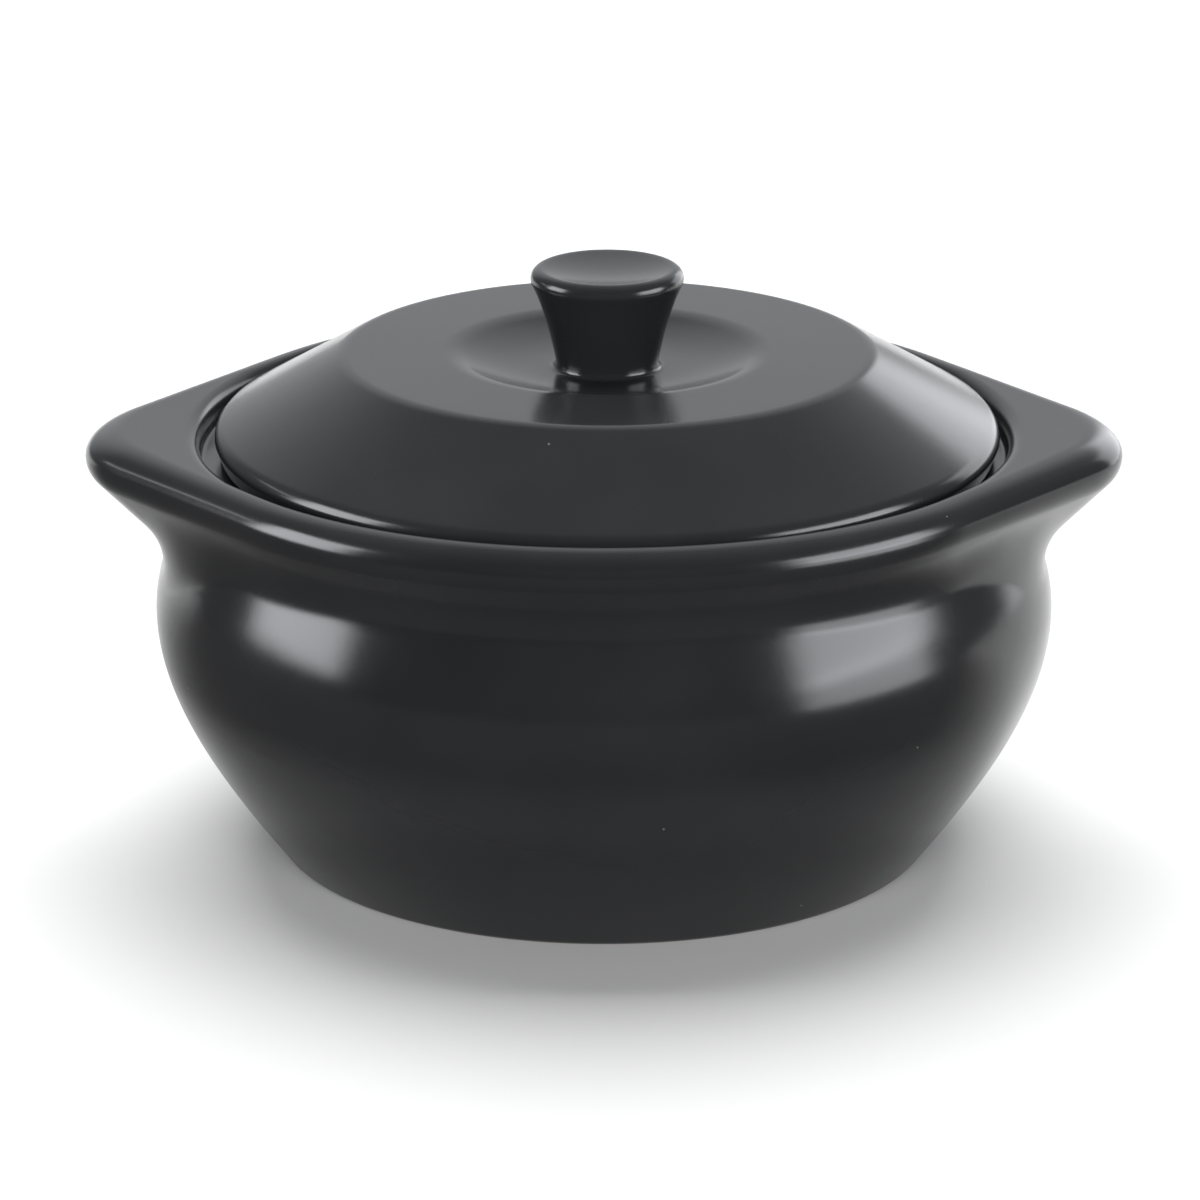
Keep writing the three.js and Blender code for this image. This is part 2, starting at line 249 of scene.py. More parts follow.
class CasseroleFinish(bpy.types.PropertyGroup):
    """Colours and grain of the glaze, and the clay under it."""

    glaze: tint("Glaze", "Satin black glaze", (0.0180, 0.0187, 0.0204))
    glaze_cloud: tint("Glaze cloud", "Glaze where it lies a little thinner", (0.0225, 0.0231, 0.0247))
    speck: tint("Speck", "Pale specks in the glaze", (0.26, 0.255, 0.25))
    clay: tint("Clay", "Bare stoneware that the piece stood on in the kiln", (0.30, 0.25, 0.205))
    roughness: share("Roughness", "Gloss of the glaze, from polished to matt", 0.17)
    roughness_spread: share("Roughness spread", "Change of gloss over clouds and grain", 0.04)
    clay_roughness: share("Clay roughness", "Gloss of the bare clay", 0.85)
    specular: share("Specular", "Strength of the glaze's mirror image", 0.5)
    cloud_width: length("Cloud width", "Size of the soft clouds in the glaze", 24.0)
    ripple_width: length("Ripple width", "Size of the shallow ripples in the glaze", 2.6)
    ripple_height: length("Ripple height", "Height of those ripples", 0.006)
    grain_width: length("Grain width", "Size of the fine grain that dulls the glaze", 0.35)
    grain_height: length("Grain height", "Height of that grain", 0.0012)
    speck_spacing: length("Speck spacing", "Size of the cells that hold one speck or none", 3.8)
    speck_radius: length("Speck radius", "Largest speck", 0.17)
    speck_share: share("Speck share", "Share of the cells that hold a speck", 0.10)
    bare_height: length("Bare height", "How far up the bare clay reaches from the foot or seat", 0.12)


class CasseroleStage(bpy.types.PropertyGroup):
    """Camera, lights and floor."""

    camera_distance: length("Camera distance", "From the camera to the point it looks at", 900.0)
    camera_elevation: turn("Camera elevation", "How far the camera looks down", 18.4)
    camera_aim: length("Camera aim", "Height of the point that the camera looks at", 34.03)
    camera_focus: amount("Camera focus", "Focal length in pixels of the photograph", 6429.7)
    camera_column: amount("Camera column", "Photograph's column where the dish's axis lies", 604.0)
    floor_colour: tint("Floor colour", "Plain pale floor", (0.85, 0.85, 0.85))
    floor_radius: length("Floor radius", "Round floor that the dish stands on", 2500.0)
    room_front: amount("Room front", "Brightness of the room behind the camera", 0.03)
    room_above: amount("Room above", "Brightness of the room overhead and beside the dish", 0.12)
    room_back: amount("Room back", "Brightness of the wall behind the dish", 0.72)
    fill_light: amount("Fill light", "Brightness of the lamps that light the floor", 2.0)


# Curves: an outline is an array (columns, points, 2) of radius and height


def at(radius, height):
    """Point of an outline: one, or one for each column where a value is an array."""
    return np.stack(np.broadcast_arrays(radius, height), axis=-1).astype(float)


def bend(handles, steps, start=0.0, end=1.0):
    """Bezier curve: handles are mixed in pairs, by a share from start to end, until one is left."""
    start = np.asarray(start, float)[..., None]
    end = np.asarray(end, float)[..., None]
    mix = (start + (end - start) * np.linspace(0.0, 1.0, steps + 1))[..., None]
    points = [handle[..., None, :] for handle in handles]
    while len(points) > 1:
        points = [first + (second - first) * mix for first, second in zip(points, points[1:])]
    return points[0]


def point_on(handles, where):
    """Point at a share of a Bezier curve."""
    return bend(handles, 1, where, where)[..., 0, :]


def arc(centre, reach, rise, start, end, steps):
    """Upright ellipse: centre plus reach times the cosine and rise times the sine of an angle."""
    start = np.asarray(start, float)[..., None]
    angle = start + (end - start) * np.linspace(0.0, 1.0, steps + 1)
    reach = np.asarray(reach, float)[..., None]
    rise = np.asarray(rise, float)[..., None]
    return centre[..., None, :] + at(reach * np.cos(angle), rise * np.sin(angle))


def toward(start, goal, distance):
    """Point that lies a distance from start on the way to goal."""
    way = goal - start
    far = np.linalg.norm(way, axis=-1, keepdims=True)
    return start + way * (np.asarray(distance, float)[..., None] / far)


def corner(before, tip, after, reach, steps):
    """Rounded corner: a Bezier curve pulled by the tip, from reach before it to reach after it."""
    return bend([toward(tip, before, reach), tip, toward(tip, after, reach)], steps)


def curve_length(handles):
    """Length of a Bezier curve, as the sum of short straight steps."""
    return np.linalg.norm(np.diff(bend(handles, LENGTH_STEPS), axis=-2), axis=-1).sum(axis=-1)


def joined(columns, stretches):
    """One outline from stretches that each start where the last one ends."""
    whole = [np.broadcast_to(part, (columns, *part.shape[-2:])) for part in stretches]
    return np.concatenate([whole[0], *[part[:, 1:] for part in whole[1:]]], axis=1)


# Dish


def dish_measures(sizes, lid):
    """Sizes of the dish that follow from others."""
    gallery = lid.radius + sizes.lid_play
    rim = gallery + sizes.rim_wall
    return SimpleNamespace(
        gallery=gallery,
        throat=gallery - sizes.ledge_width,
        rim=rim,
        neck=sizes.belly_radius - sizes.belly_swell,
        base=sizes.belly_radius - sizes.base_tuck,
        neck_height=sizes.belly_height + sizes.shoulder_rise,
        ledge_height=sizes.crest_height - sizes.gallery_depth,
        overhang=sizes.lug_reach - rim,
        tip_centre=sizes.lug_reach - sizes.lug_tip_radius,
        lean=math.tan(sizes.wall_lean),
    )


def rim_reach(sizes, measures, angle):
    """Radius of the rim's outer face at an angle from the nearest lug.

    Seen from above it is the lug's round tip, then a straight edge that touches both the tip and the
    round rim, then the rim. A straight edge lies rim / cos(angle from where it touches the rim) away.
    """
    tip_centre = measures.tip_centre
    tip_radius = sizes.lug_tip_radius
    rim_touch = math.acos((measures.rim - tip_radius) / tip_centre)
    tip_touch = math.atan2(
        tip_radius * math.sin(rim_touch), tip_centre + tip_radius * math.cos(rim_touch)
    )
    across = np.minimum(tip_centre * np.sin(angle), tip_radius)
    tip = tip_centre * np.cos(angle) + np.sqrt(tip_radius**2 - across**2)
    edge = measures.rim / np.cos(np.minimum(rim_touch - angle, rim_touch))
    return np.where(angle >= rim_touch, measures.rim, np.where(angle >= tip_touch, edge, tip))


def lower_wall(sizes, measures, start_radius, start_height, widest):
    """Handles of the wall from a level near the base, where it leans out, up to the widest part."""
    rise = sizes.belly_height - start_height
    return [
        at(start_radius, start_height),
        at(
            start_radius + measures.lean * sizes.base_handle * rise,
            start_height + sizes.base_handle * rise,
        ),
        at(widest, sizes.belly_height - sizes.belly_handle * rise),
        at(widest, sizes.belly_height),
    ]


def upper_wall(sizes, measures, widest, end_radius):
    """Handles of the wall from the widest part up and in to the neck or the throat."""
    return [
        at(widest, sizes.belly_height),
        at(widest, sizes.belly_height + sizes.shoulder_handle * sizes.shoulder_rise),
        at(
            end_radius + sizes.neck_handle_swell * (widest - end_radius),
            measures.neck_height - sizes.neck_handle_rise * sizes.shoulder_rise,
        ),
        at(end_radius, measures.neck_height),
    ]


def dish_outside(sizes, measures, reach, crest):
    """Stretches from the middle of the underside out, up the wall and over the roll of the rim.

    The roll is two quarter ellipses that meet upright at the rim's outer face, and the upper one lies
    flatter on a lug. A lug's underside leaves the shoulder curve at a share of it that falls as the
    lug reaches out, and runs straight until it touches the lower one. The fillet between that curve
    and the underside is longest halfway out along a lug.
    """
    lug_share = (reach - measures.rim) / measures.overhang
    foot_outer = measures.base - sizes.base_edge
    foot_inner = foot_outer - sizes.foot_width
    middle = at(0.0, sizes.foot_recess)
    recess_edge = at(foot_inner - sizes.foot_recess, sizes.foot_recess)
    foot_edge = at(foot_inner, 0.0)
    soft = sizes.foot_recess / 2
    wall = lower_wall(sizes, measures, measures.base, 0.0, sizes.belly_radius)
    wall_start = sizes.base_edge / curve_length(wall)
    shoulder = upper_wall(sizes, measures, sizes.belly_radius, measures.neck)
    root = 1.0 - sizes.lug_root * lug_share
    halfway = 4.0 * lug_share * (1.0 - lug_share)
    fillet_reach = sizes.neck_fillet + sizes.lug_fillet * halfway
    fillet_start = root - fillet_reach / curve_length(shoulder)
    under_roll = point_on(shoulder, root)

    rise = sizes.rim_depth / 2
    top_reach = sizes.roll_reach + sizes.lug_crown * lug_share
    roll = at(reach - sizes.roll_reach, crest - rise)
    from_roll = (under_roll - roll) * at(rise / sizes.roll_reach, 1.0)
    touch = np.arctan2(from_roll[:, 1], from_roll[:, 0]) % (2 * np.pi) - 2 * np.pi
    touch = touch + np.arccos(rise / np.linalg.norm(from_roll, axis=-1))
    roll_start = roll + at(sizes.roll_reach * np.cos(touch), rise * np.sin(touch))
    underside = np.linalg.norm(roll_start - under_roll, axis=-1)
    fillet_end = toward(under_roll, roll_start, np.minimum(fillet_reach, underside * FILLET_SHARE))
    fillet = [point_on(shoulder, fillet_start), under_roll, fillet_end]
    foot_corner = at(foot_outer, 0.0)
    base_edge = [foot_corner, at(measures.base, 0.0), point_on(wall, wall_start)]
    return [
        bend([middle, toward(recess_edge, middle, soft)], steps=10),
        corner(middle, recess_edge, foot_edge, soft, steps=5),
        corner(recess_edge, foot_edge, foot_corner, soft, steps=5),
        bend([at(foot_inner + soft, 0.0), foot_corner], steps=4),
        bend(base_edge, steps=8),
        bend(wall, steps=44, start=wall_start),
        bend(shoulder, steps=28, end=fillet_start),
        bend(fillet, steps=18),
        bend([fillet_end, roll_start], steps=8),
        arc(roll, sizes.roll_reach, rise, touch, 0.0, steps=18),
        arc(at(reach - top_reach, crest - rise), top_reach, rise, 0.0, np.pi / 2, steps=26),
    ]


def dish_inside(sizes, measures, reach, crest):
    """Stretches from the rim's crest in, down the gallery and the inner wall to the floor's middle."""
    top_reach = sizes.roll_reach + sizes.lug_crown * (reach - measures.rim) / measures.overhang
    roll_top = at(reach - top_reach, crest)
    edge = np.minimum(sizes.rim_edge, reach - top_reach - measures.gallery - sizes.rim_level)
    gallery_top = at(measures.gallery + edge, crest - edge)
    ledge = measures.ledge_height
    gallery_foot = at(measures.gallery, ledge)
    throat = at(measures.throat, ledge)
    below_throat = at(measures.throat, measures.neck_height)
    inner_upper = upper_wall(sizes, measures, sizes.belly_radius - sizes.wall, measures.throat)
    floor_radius = (
        measures.base + measures.lean * sizes.floor - sizes.wall * math.hypot(1.0, measures.lean)
    )
    inner_lower = lower_wall(
        sizes, measures, floor_radius, sizes.floor, sizes.belly_radius - sizes.wall
    )
    inner_start = sizes.floor_fillet / curve_length(inner_lower)
    floor_turn = [
        point_on(inner_lower, inner_start),
        at(floor_radius, sizes.floor),
        at(floor_radius - sizes.floor_fillet, sizes.floor),
    ]
    fillet = sizes.gallery_fillet
    return [
        bend([roll_top, gallery_top + at(0.0, edge)], steps=8),
        arc(gallery_top, edge, edge, np.pi / 2, np.pi, steps=10),
        bend([at(measures.gallery, crest - edge), gallery_foot + at(0.0, fillet)], steps=6),
        corner(gallery_foot + at(0.0, fillet), gallery_foot, throat, fillet, steps=6),
        bend([gallery_foot - at(fillet, 0.0), throat + at(sizes.throat_edge, 0.0)], steps=5),
        corner(gallery_foot, throat, below_throat, sizes.throat_edge, steps=8),
        bend([throat - at(0.0, sizes.throat_edge), below_throat], steps=4),
        bend(inner_upper, steps=20, start=1.0, end=0.0),
        bend(inner_lower, steps=28, start=1.0, end=inner_start),
        bend(floor_turn, steps=12),
        bend([floor_turn[-1], at(0.0, sizes.floor)], steps=8),
    ]


def dish_outline(sizes, lid, angle):
    """Closed outline of the dish at each angle round its axis, from underside to inner floor."""
    measures = dish_measures(sizes, lid)
    from_lug = np.arccos(np.minimum(np.abs(np.cos(angle)), 1.0))
    reach = rim_reach(sizes, measures, from_lug)
    crest = sizes.crest_height - sizes.lug_droop * np.cos(angle) ** 2
    outside = dish_outside(sizes, measures, reach, crest)
    inside = dish_inside(sizes, measures, reach, crest)
    return joined(len(angle), outside + inside)


# Lid


def lid_measures(sizes):
    """Sizes of the lid that follow from others."""
    ridge = sizes.radius - sizes.slope_width
    ring_height = sizes.ridge_height + sizes.ring_rise
    recess_height = ring_height - sizes.recess_depth
    slope = (sizes.ridge_height - sizes.brim_height) / sizes.slope_width
    return SimpleNamespace(
        ridge=ridge,
        ring=ridge - sizes.ring_width,
        ring_height=ring_height,
        floor_edge=sizes.knob_base_radius + sizes.knob_fillet,
        recess_height=recess_height,
        hollow_height=recess_height - sizes.wall,
        hollow_edge=ridge - sizes.wall,
        hollow_top=sizes.ridge_height + sizes.wall * (slope - math.hypot(1.0, slope)),
        seat_outer=sizes.radius - sizes.seat_taper,
        seat_inner=sizes.radius - sizes.seat_taper - sizes.seat_width,
    )


def half_wave(start, end, steps):
    """Half a cosine wave: the radius runs evenly from start to end, the height eases in and out."""
    mix = np.linspace(0.0, 1.0, steps + 1)
    ease = (1.0 - np.cos(np.pi * mix)) / 2
    return at(start[0] + (end[0] - start[0]) * mix, start[1] + (end[1] - start[1]) * ease)


def lid_underside(sizes, measures):
    """Stretches from the hollow's middle out and down to the seat, one wall under the upper side."""
    middle = at(0.0, measures.hollow_height)
    dip_edge = at(measures.floor_edge, measures.hollow_height)
    hollow_edge = at(measures.hollow_edge, measures.hollow_top)
    brim = at(measures.seat_inner - sizes.wall / 2, sizes.brim_height)
    seat_inner = at(measures.seat_inner, 0.0)
    seat_outer = at(measures.seat_outer, 0.0)
    widest = at(sizes.radius, sizes.brim_height)
    soft = sizes.wall / 2
    edge = sizes.seat_edge
    return [
        bend([middle, dip_edge], steps=10),
        half_wave(dip_edge, hollow_edge - at(soft, 0.0), steps=18),
        corner(hollow_edge - at(soft, 0.0), hollow_edge, brim, soft, steps=10),
        bend([toward(hollow_edge, brim, soft), toward(brim, hollow_edge, soft / 2)], steps=16),
        corner(hollow_edge, brim, seat_inner, soft / 2, steps=8),
        bend([toward(brim, seat_inner, soft / 2), toward(seat_inner, brim, edge)], steps=6),
        corner(brim, seat_inner, seat_outer, edge, steps=6),
        bend([seat_inner + at(edge, 0.0), seat_outer - at(edge, 0.0)], steps=4),
        corner(seat_inner, seat_outer, widest, edge, steps=6),
        bend([toward(seat_outer, widest, edge), widest], steps=8),
    ]


def lid_slope(sizes, measures):
    """Stretches from the widest part over the brim, the side and the ridge to the recess's edge.

    The brim is an arc that the sloping side leaves where it touches it.
    """
    brim = at(sizes.radius - sizes.brim_round, sizes.brim_height)
    ridge = at(measures.ridge, sizes.ridge_height)
    ring_edge = at(measures.ring, measures.ring_height)
    to_ridge = ridge - brim
    turn_angle = math.atan2(to_ridge[1], to_ridge[0])
    touch = turn_angle - math.acos(sizes.brim_round / np.linalg.norm(to_ridge))
    slope_start = brim + sizes.brim_round * at(math.cos(touch), math.sin(touch))
    ring = [toward(ridge, ring_edge, sizes.ridge_round), toward(ring_edge, ridge, sizes.recess_round)]
    return [
        arc(brim, sizes.brim_round, sizes.brim_round, 0.0, touch, steps=24),
        bend([slope_start, toward(ridge, slope_start, sizes.ridge_round)], steps=24),
        corner(slope_start, ridge, ring_edge, sizes.ridge_round, steps=12),
        bend(ring, steps=12),
    ]


def lid_recess(sizes, measures):
    """Stretches from the edge of the recess down into it, up the knob and in to the middle of its top.

    The recess is a shallow bowl: a curve that falls from its edge and is level at the knob's fillet.
    """
    ridge = at(measures.ridge, sizes.ridge_height)
    ring_edge = at(measures.ring, measures.ring_height)
    bowl = at((measures.ring + measures.floor_edge) / 2, measures.recess_height)
    knob_top = sizes.lid_height
    foot = at(sizes.knob_base_radius, measures.recess_height)
    fillet_start = foot + at(sizes.knob_fillet, 0.0)
    side_start = foot + at(0.0, sizes.knob_fillet)
    lip = at(sizes.knob_top_radius - sizes.knob_lip, knob_top - sizes.knob_lip)
    under = -sizes.knob_lip_turn
    side_end = lip + sizes.knob_lip * at(math.cos(under), math.sin(under))
    waist = at(
        side_end[0] + (side_start[0] - side_end[0]) * sizes.knob_waist,
        side_start[1] + (side_end[1] - side_start[1]) * sizes.knob_waist,
    )
    dish_edge = lip + at(0.0, sizes.knob_lip)
    dish_middle = at(0.0, knob_top - sizes.knob_dish)
    return [
        corner(ridge, ring_edge, bowl, sizes.recess_round, steps=14),
        bend([toward(ring_edge, bowl, sizes.recess_round), bowl, fillet_start], steps=28),
        bend([fillet_start, foot, side_start], steps=8),
        bend([side_start, waist, side_end], steps=20),
        arc(lip, sizes.knob_lip, sizes.knob_lip, under, np.pi / 2, steps=14),
        bend([dish_edge, at(dish_edge[0] / 2, dish_middle[1]), dish_middle], steps=14),
    ]


def lid_outline(sizes, angle):
    """Closed outline of the lid, the same at each angle, with heights above the table."""
    measures = lid_measures(sizes)
    underside = lid_underside(sizes, measures)
    upper_side = lid_slope(sizes, measures) + lid_recess(sizes, measures)
    return joined(len(angle), underside + upper_side) + at(0.0, sizes.seat_height)


# Meshes


def angles_round(columns):
    """Angles of columns that stand evenly round an axis."""
    return np.linspace(0.0, 2 * np.pi, columns, endpoint=False)


def round_the_axis(outline, angle, offset):
    """Grid of points: each outline is turned to its angle, about an axis that stands off by offset."""
    radius = outline[..., 0]
    across = offset + radius * np.cos(angle)[:, None]
    along = radius * np.sin(angle)[:, None]
    return np.stack([across, along, outline[..., 1]], axis=-1)


def closed_surface(name, grid):
    """Object whose mesh passes through a grid of points, closed round its axis and at both poles."""
    between_poles = grid[:, 1:-1]
    columns, rows = between_poles.shape[:2]
    rings = between_poles.reshape(-1, 3)
    points = np.concatenate([rings, grid[:1, 0], grid[:1, -1]])
    first_pole = columns * rows
    last_pole = first_pole + 1
    here = np.arange(first_pole).reshape(columns, rows)
    beside = np.roll(here, -1, axis=0)
    quads = [here[:, :-1], beside[:, :-1], beside[:, 1:], here[:, 1:]]
    quads = np.stack(quads, axis=-1).reshape(-1, 4)
    first_fan = np.stack([np.full(columns, first_pole), beside[:, 0], here[:, 0]], axis=-1)
    last_fan = np.stack([here[:, -1], beside[:, -1], np.full(columns, last_pole)], axis=-1)
    corners = np.concatenate([quads.ravel(), first_fan.ravel(), last_fan.ravel()])
    sides = np.concatenate([np.full(len(quads), 4), np.full(2 * columns, 3)])

    mesh = bpy.data.meshes.new(name)
    mesh.vertices.add(len(points))
    mesh.vertices.foreach_set("co", points.astype(np.float32).ravel())
    mesh.loops.add(len(corners))
    mesh.loops.foreach_set("vertex_index", corners.astype(np.int32))
    mesh.polygons.add(len(sides))
    mesh.polygons.foreach_set("loop_start", (np.cumsum(sides) - sides).astype(np.int32))
    mesh.polygons.foreach_set("use_smooth", np.ones(len(sides), bool))
    mesh.update(calc_edges=True)
    if mesh.validate():
        raise RuntimeError(f"the surface of {name} has faults")
    piece = bpy.data.objects.new(name, mesh)
    bpy.context.scene.collection.objects.link(piece)
    return piece


def dress(piece, body, node, material):
    """Gives a piece its finish and sets it in place of a solid."""
    piece.data.materials.append(material)
    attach(piece, body)
    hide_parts(node)


# Materials


def add_node(tree, kind, inputs, **settings):
    """Adds a node: each input is a value, or another node's output to link."""
    node = tree.nodes.new(kind)
    for name, value in settings.items():
        setattr(node, name, value)
    for name, value in inputs.items():
        if isinstance(value, bpy.types.NodeSocket):
            tree.links.new(value, node.inputs[name])
        else:
            node.inputs[name].default_value = value
    return node


def new_material(name):
    """Empty node material, and its output."""
    material = bpy.data.materials.new(name)
    material.use_nodes = True
    material.node_tree.nodes.clear()
    output = material.node_tree.nodes.new("ShaderNodeOutputMaterial")
    return material, output


def noise(tree, place, width, detail):
    """Noise whose lumps have a width, as a number about one half."""
    inputs = {"Vector": place, "Scale": 1.0 / width, "Detail": detail}
    return add_node(tree, "ShaderNodeTexNoise", inputs).outputs["Fac"]


def remap(tree, value, low, high, start, end):
    """Maps the stretch from low to high of a value onto the stretch from start to end."""
    inputs = {"Value": value, "From Min": low, "From Max": high, "To Min": start, "To Max": end}
    return add_node(tree, "ShaderNodeMapRange", inputs).outputs["Result"]


def soft_step(tree, value, low, high, start=0.0):
    """Eases from start to one while a value runs from low to high."""
    inputs = {"Value": value, "From Min": low, "From Max": high, "To Min": start}
    node = add_node(tree, "ShaderNodeMapRange", inputs, interpolation_type="SMOOTHSTEP")
    return node.outputs["Result"]


def blend(tree, share_of_second, first, second):
    """Mixes two colours, each red, green and blue or an output."""
    inputs = {"Factor": share_of_second}
    for socket, colour in ((MIX_FIRST, first), (MIX_SECOND, second)):
        inputs[socket] = colour if isinstance(colour, bpy.types.NodeSocket) else (*colour, 1.0)
    return add_node(tree, "ShaderNodeMix", inputs, data_type="RGBA").outputs[MIX_RESULT]


def calculate(tree, operation, first, second):
    """One sum on two numbers, each a value or an output."""
    node = add_node(tree, "ShaderNodeMath", {0: first, 1: second}, operation=operation)
    return node.outputs["Value"]


def along(tree, place, way):
    """How far a place lies along a direction."""
    node = add_node(tree, "ShaderNodeVectorMath", {0: place, 1: way}, operation="DOT_PRODUCT")
    return node.outputs["Value"]


def speck_mask(tree, place, finish):
    """One where a speck lies: near the middle of a cell, in the few cells with a low random shade."""
    cells = add_node(
        tree, "ShaderNodeTexVoronoi", {"Vector": place, "Scale": 1.0 / finish.speck_spacing}
    )
    shade = add_node(tree, "ShaderNodeSeparateColor", {"Color": cells.outputs["Color"]})
    radius = finish.speck_radius / finish.speck_spacing
    near = remap(tree, cells.outputs["Distance"], radius, radius * SPECK_CORE, 0.0, 1.0)
    chosen = calculate(tree, "LESS_THAN", shade.outputs["Red"], finish.speck_share)
    return calculate(tree, "MULTIPLY", near, chosen)


def glazed_stoneware(name, finish, lowest):
    """Satin black glaze with soft clouds, shallow ripples, a fine dull grain and a few pale specks.

    The clay is bare from the lowest point up to an uneven line about one bare_height above it, as the
    ripple's noise lies about one half.
    """
    material, output = new_material(name)
    tree = material.node_tree
    place = add_node(tree, "ShaderNodeTexCoord", {}).outputs["Object"]
    cloud = noise(tree, place, finish.cloud_width, CLOUD_DETAIL)
    ripple = noise(tree, place, finish.ripple_width, FINE_DETAIL)
    grain = noise(tree, place, finish.grain_width, FINE_DETAIL)
    speck = speck_mask(tree, place, finish)
    height = add_node(tree, "ShaderNodeSeparateXYZ", {"Vector": place}).outputs["Z"]
    glaze_line = remap(tree, ripple, 0.0, 1.0, lowest, lowest + 2.0 * finish.bare_height)
    bare = calculate(tree, "LESS_THAN", height, glaze_line)

    thinner = remap(tree, cloud, *CLOUD_RANGE, 0.0, 1.0)
    colour = blend(tree, thinner, finish.glaze, finish.glaze_cloud)
    colour = blend(tree, speck, colour, finish.speck)
    colour = blend(tree, bare, colour, finish.clay)
    low = finish.roughness - finish.roughness_spread
    high = finish.roughness + finish.roughness_spread
    dullness = calculate(tree, "ADD", cloud, grain)
    roughness = remap(tree, dullness, *DULL_RANGE, low, high)
    roughness = remap(tree, bare, 0.0, 1.0, roughness, finish.clay_roughness)

    ripple_lift = calculate(tree, "MULTIPLY", ripple, finish.ripple_height)
    grain_lift = calculate(tree, "MULTIPLY", grain, finish.grain_height)
    lift = calculate(tree, "ADD", ripple_lift, grain_lift)
    bump = add_node(tree, "ShaderNodeBump", {"Height": lift, "Strength": 1.0, "Distance": 1.0})
    shader = add_node(
        tree,
        "ShaderNodeBsdfPrincipled",
        {
            "Base Color": colour,
            "Roughness": roughness,
            "Specular IOR Level": finish.specular,
            "Normal": bump.outputs["Normal"],
        },
    )
    tree.links.new(shader.outputs["BSDF"], output.inputs["Surface"])
    return material


# Stage


def studio_room(stage):
    """World: dim round the camera and above, and pale in a soft round spot behind the dish.

    Its brightness follows the cosine of the angle between a direction and the middle of that spot.
    """
    world = bpy.data.worlds.new("studio")
    world.use_nodes = True
    tree = world.node_tree
    direction = add_node(tree, "ShaderNodeTexCoord", {}).outputs["Generated"]
    nearness = remap(tree, along(tree, direction, SPOT_MIDDLE), -1.0, 1.0, 0.0, 1.0)
    ramp = add_node(tree, "ShaderNodeValToRGB", {"Fac": nearness})
    stops = (
        (ROOM_FRONT_END, stage.room_front),
        (ROOM_ABOVE, stage.room_above),
        (SPOT_START, stage.room_above * SPOT_HALO),
        (SPOT_EDGE, stage.room_back),
    )
    ramp.color_ramp.elements.remove(ramp.color_ramp.elements[1])
    ramp.color_ramp.elements[0].color = (*(stage.room_front * tone for tone in STUDIO_TINT), 1.0)
    for position, grey in stops:
        ramp.color_ramp.elements.new(position).color = (*(grey * tone for tone in STUDIO_TINT), 1.0)
    tree.links.new(ramp.outputs["Color"], tree.nodes["Background"].inputs["Color"])
    return world


def add_lamp(name, centre, target, width, height, brightness):
    """Flat lamp that faces a target, with its power set so that its face has that brightness."""
    lamp = bpy.data.lights.new(name, "AREA")
    lamp.shape = "RECTANGLE"
    lamp.size = width
    lamp.size_y = height
    lamp.energy = brightness * math.pi * width * height
    lamp_object = bpy.data.objects.new(name, lamp)
    lamp_object.location = centre
    aim = Vector(target) - Vector(centre)
    lamp_object.rotation_euler = aim.to_track_quat("-Z", "Y").to_euler()
    lamp_object.visible_camera = False
    bpy.context.scene.collection.objects.link(lamp_object)
    return lamp_object


def soften_edges(lamp):
    """Dims a lamp towards its edges: a soft step over the distance from each pair of edges."""
    lamp.use_nodes = True
    tree = lamp.node_tree
    place = add_node(tree, "ShaderNodeNewGeometry", {}).outputs["Parametric"]
    across = add_node(tree, "ShaderNodeSeparateXYZ", {"Vector": place})
    dimmed = []
    for side in ("X", "Y"):
        offset = calculate(tree, "SUBTRACT", across.outputs[side], 0.5)
        from_middle = calculate(tree, "ABSOLUTE", offset, 0.0)
        dimmed.append(soft_step(tree, from_middle, 0.5, 0.5 - SOFTBOX_EDGE))
    both = calculate(tree, "MULTIPLY", *dimmed)
    tree.links.new(both, tree.nodes["Emission"].inputs["Strength"])


def add_softbox(name, azimuth, distance, height, width, tall, brightness):
    """Upright lamp with soft edges that shows only as a highlight on the glaze."""
    turn_angle = math.radians(azimuth)
    centre = (distance * math.sin(turn_angle), distance * math.cos(turn_angle), height)
    softbox = add_lamp(name, centre, (0.0, 0.0, height), width, tall, brightness)
    softbox.data.color = STUDIO_TINT
    soften_edges(softbox.data)
    softbox.visible_diffuse = False


def add_fill_lamp(name, centre, width, height, brightness):
    """Wide soft lamp that lights the floor and the colours, and isn't mirrored."""
    lamp = add_lamp(name, centre, (0.0, 0.0, 0.0), width, height, brightness)
    lamp.visible_glossy = False


